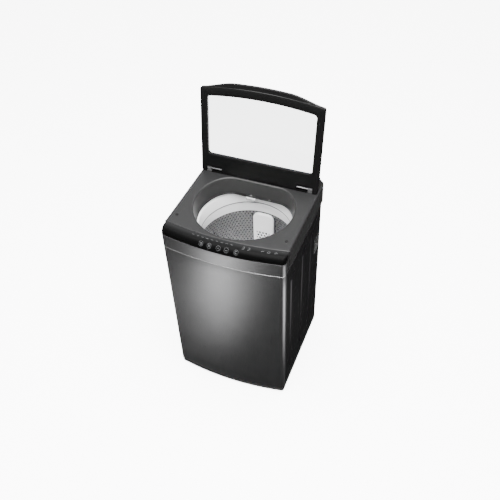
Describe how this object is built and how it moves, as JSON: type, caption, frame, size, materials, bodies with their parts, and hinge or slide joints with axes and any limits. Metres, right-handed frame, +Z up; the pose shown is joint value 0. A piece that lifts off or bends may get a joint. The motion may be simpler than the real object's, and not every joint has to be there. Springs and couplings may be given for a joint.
{
  "type": "top load washing machine",
  "caption": "Top load washing machine with a bowed brushed front, a glazed lid that stands open, and a steel drum that spins in a hanging tub.",
  "frame": {"origin": "middle of the footprint, on the surface that the feet stand on", "axes": "+X to the machine's right seen from the front, +Y to its back, +Z up"},
  "size_m": [0.55, 0.556, 1.3594],
  "materials": {
    "brushed_titanium": "vertically brushed dark titanium grey",
    "dark_paint": "near-black semi-gloss paint",
    "deck_grey": "satin dark grey",
    "gloss_black": "high gloss black",
    "lid_black": "semi-gloss black",
    "lid_glass": "clear tempered",
    "base_black": "matt black",
    "white_plastic": "smooth white",
    "tub_plastic": "moulded off-white",
    "stainless": "embossed stainless sheet",
    "steel": "plain bright steel",
    "alloy": "die cast",
    "rubber": "moulded black",
    "grey_plastic": "moulded mid grey",
    "board_green": "lacquered board"
  },
  "bodies": {
    "cabinet": {"base_frame": "base_black", "foot_rear_left": "rubber", "foot_rear_right": "rubber", "front_panel": "brushed_titanium", "front_fascia": "brushed_titanium", "left_side_panel": "dark_paint", "right_side_panel": "dark_paint", "back_panel": "dark_paint", "carry_grip_left": "base_black", "carry_grip_right": "base_black", "drain_outlet": "grey_plastic", "power_cord_gland": "base_black", "top_deck": "deck_grey", "control_panel": "gloss_black", "control_board": "board_green", "rear_deck_cover": "deck_grey", "inlet_valve": "white_plastic", "inlet_spout": "deck_grey", "lid_switch": "base_black", "pressure_sensor": "white_plastic", "lid_buffer_left": "rubber", "lid_buffer_right": "rubber", "hinge_post_left": "grey_plastic", "hinge_post_right": "grey_plastic", "suspension_rod_front_left": "steel", "suspension_rod_front_right": "steel", "suspension_rod_rear_left": "steel", "suspension_rod_rear_right": "steel", "suspension_spring_front_left": "steel", "suspension_spring_front_right": "steel", "suspension_spring_rear_left": "steel", "suspension_spring_rear_right": "steel"},
    "tub": {"outer_tub": "tub_plastic", "tub_cover_ring": "white_plastic", "tub_support_plate": "steel", "shaft_seal": "rubber", "gearbox_housing": "alloy", "motor_body": "alloy", "drive_belt": "rubber", "drain_valve": "grey_plastic", "drain_motor": "grey_plastic"},
    "drum": {"drum_wall": "stainless", "drum_base": "white_plastic", "balance_ring": "white_plastic", "spin_shaft": "steel"},
    "pulsator": {"pulsator": "white_plastic", "pulsator_shaft": "steel", "pulsator_screw": "steel"},
    "lint_filter": {"lint_filter": "white_plastic"},
    "drive_pulley": {"drive_pulley": "alloy"},
    "motor_rotor": {"motor_pulley": "alloy", "motor_shaft": "steel"},
    "drain_rod": {"drain_pull_rod": "steel"},
    "lid": {"lid_frame": "lid_black", "lid_glass": "lid_glass", "hinge_pin_left": "steel", "hinge_pin_right": "steel"},
    "foot_left": {"foot_front_left": "rubber"},
    "foot_right": {"foot_front_right": "rubber"}
  },
  "joints": [
    {"name": "lid_hinge", "type": "hinge", "parent": "cabinet", "child": "lid", "pos_m": [0, 0.1795, 0.941], "axis": [1, 0, 0], "range_deg": [0, 98]},
    {"name": "tub_bounce", "type": "slide", "parent": "cabinet", "child": "tub", "axis": [0, 0, 1], "range_m": [-0.012, 0.008], "stiffness_N_per_m": 16000, "springref_m": 0.01318, "deforming": ["suspension_spring_front_left", "suspension_spring_front_right", "suspension_spring_rear_left", "suspension_spring_rear_right"]},
    {"name": "drum_spin", "type": "hinge", "parent": "tub", "child": "drum", "pos_m": [0, 0.0135, 0.5], "axis": [0, 0, 1], "continuous": true},
    {"name": "pulsator_spin", "type": "hinge", "parent": "drum", "child": "pulsator", "pos_m": [0, 0.0135, 0.3], "axis": [0, 0, 1], "continuous": true},
    {"name": "lint_filter_release", "type": "slide", "parent": "drum", "child": "lint_filter", "axis": [0, -1, 0], "range_m": [0, 0.06]},
    {"name": "drive_pulley_spin", "type": "hinge", "parent": "tub", "child": "drive_pulley", "pos_m": [0, 0.0135, 0.105], "axis": [0, 0, 1], "continuous": true},
    {"name": "motor_spin", "type": "hinge", "parent": "tub", "child": "motor_rotor", "pos_m": [0.15, 0.0135, 0.105], "axis": [0, 0, 1], "continuous": true},
    {"name": "drain_rod_pull", "type": "slide", "parent": "tub", "child": "drain_rod", "axis": [0, -1, 0], "range_m": [0, 0.014], "stiffness_N_per_m": 250, "springref_m": -0.01},
    {"name": "foot_left_level", "type": "slide", "parent": "cabinet", "child": "foot_left", "axis": [0, 0, -1], "range_m": [0, 0.012]},
    {"name": "foot_right_level", "type": "slide", "parent": "cabinet", "child": "foot_right", "axis": [0, 0, -1], "range_m": [0, 0.012]}
  ],
  "couplings": [
    {"joint": "drive_pulley_spin", "follows": "pulsator_spin", "ratio": 4.8},
    {"joint": "motor_spin", "follows": "pulsator_spin", "ratio": 14.182}
  ]
}
